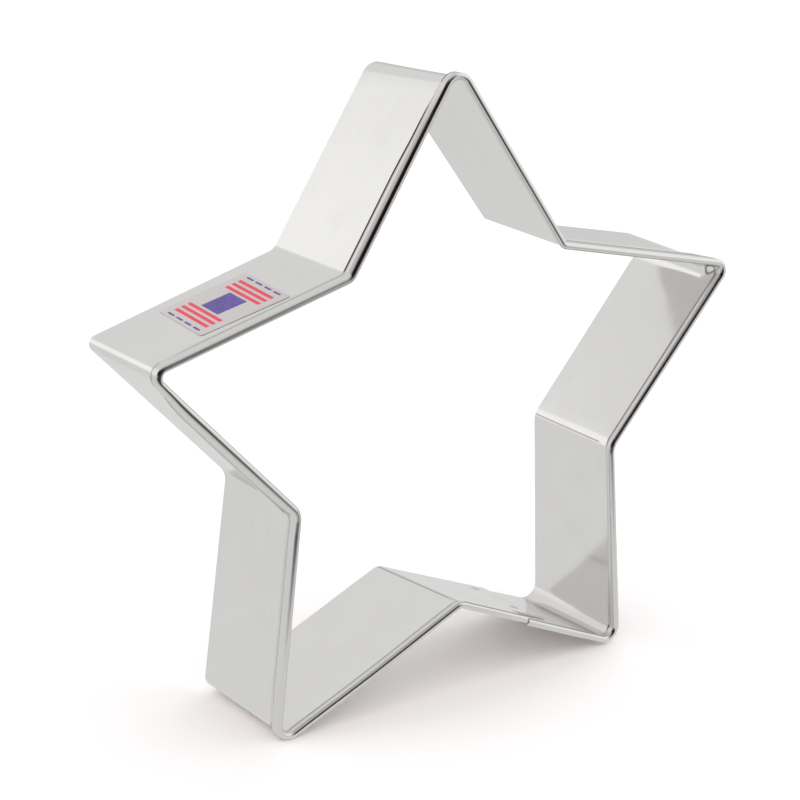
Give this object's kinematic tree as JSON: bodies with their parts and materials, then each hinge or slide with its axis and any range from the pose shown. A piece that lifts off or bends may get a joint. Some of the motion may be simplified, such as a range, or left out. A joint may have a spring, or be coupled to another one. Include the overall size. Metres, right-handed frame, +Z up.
{
  "type": "cookie cutter",
  "caption": "Star-shaped cookie cutter bent from tinplate strip, with a rounded hemmed rim, a plain cutting edge, a spot-welded seam and a small label on an outer wall.",
  "frame": {"origin": "on the ground under the middle of the star, midway through its depth", "axes": "+X across the star to the right, +Y from the hemmed rim to the cutting edge, +Z up towards the top point"},
  "size_m": [0.1194, 0.0254, 0.1122],
  "materials": {
    "tinplate": "bright rolled tinplate with a fine grain",
    "weld_metal": "dull pressed weld spot",
    "adhesive": "thin clear pressure-sensitive adhesive",
    "film": "glossy white label film",
    "violet_ink": "printed ink under a gloss varnish",
    "red_ink": "printed ink under a gloss varnish"
  },
  "bodies": {
    "root": {"cutter_strip": "tinplate", "spot_welds": "weld_metal", "label_adhesive": "adhesive", "label_film": "film", "label_print_violet": "violet_ink", "label_print_red": "red_ink"}
  },
  "joints": []
}
